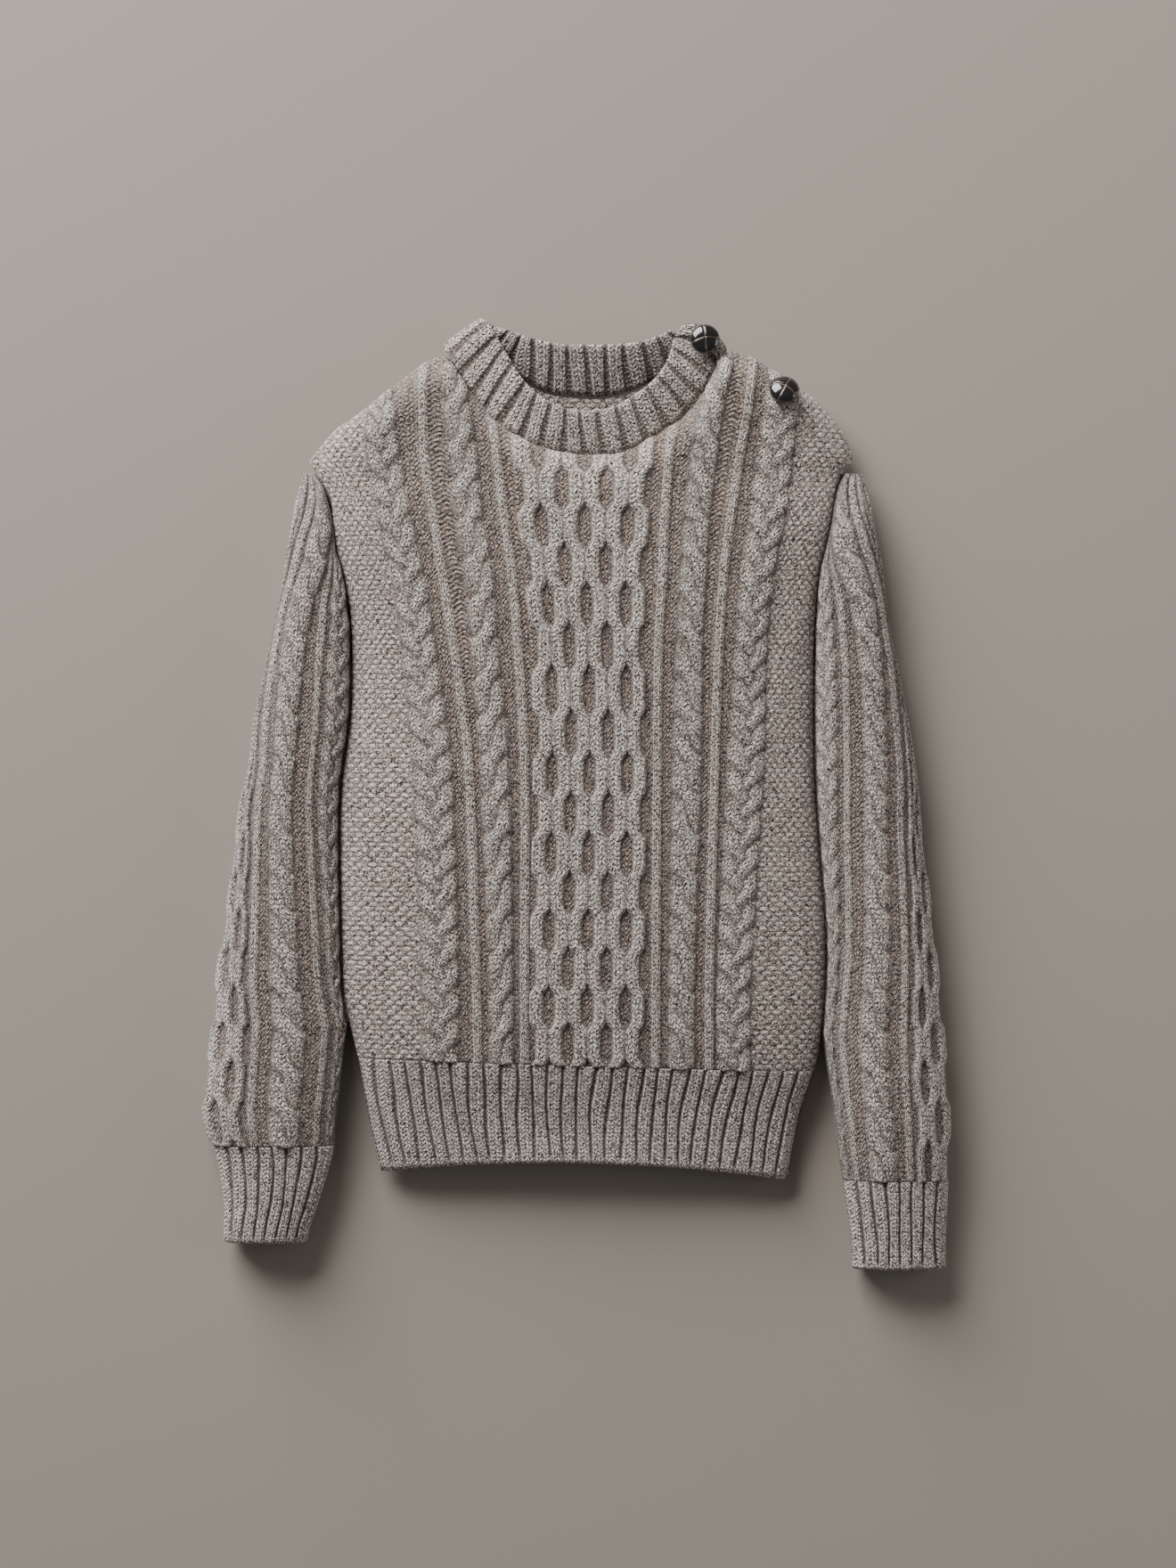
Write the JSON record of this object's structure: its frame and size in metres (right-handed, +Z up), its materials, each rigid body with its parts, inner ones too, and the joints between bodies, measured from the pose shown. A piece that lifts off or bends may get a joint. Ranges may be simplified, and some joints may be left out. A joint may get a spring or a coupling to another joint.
{
  "type": "cable knit sweater, laid flat",
  "caption": "Crew-neck cable knit sweater laid flat, with ribbed hem, cuffs and neckband and a buttoned left shoulder.",
  "frame": {"origin": "under the middle of the sweater's bounding box, on the surface it lies on", "axes": "+Z up from the surface, +Y from the hem to the neck, +X to the wearer's left"},
  "size_m": [0.56, 0.7164, 0.0481],
  "materials": {
    "wool": "matte",
    "button": "gloss"
  },
  "bodies": {
    "root": {"front": "wool", "back": "wool", "hem_front": "wool", "hem_back": "wool", "sleeve_right": "wool", "sleeve_left": "wool", "cuff_right": "wool", "cuff_left": "wool", "neckband": "wool", "button_top": "button", "button_shoulder": "button"}
  },
  "joints": []
}
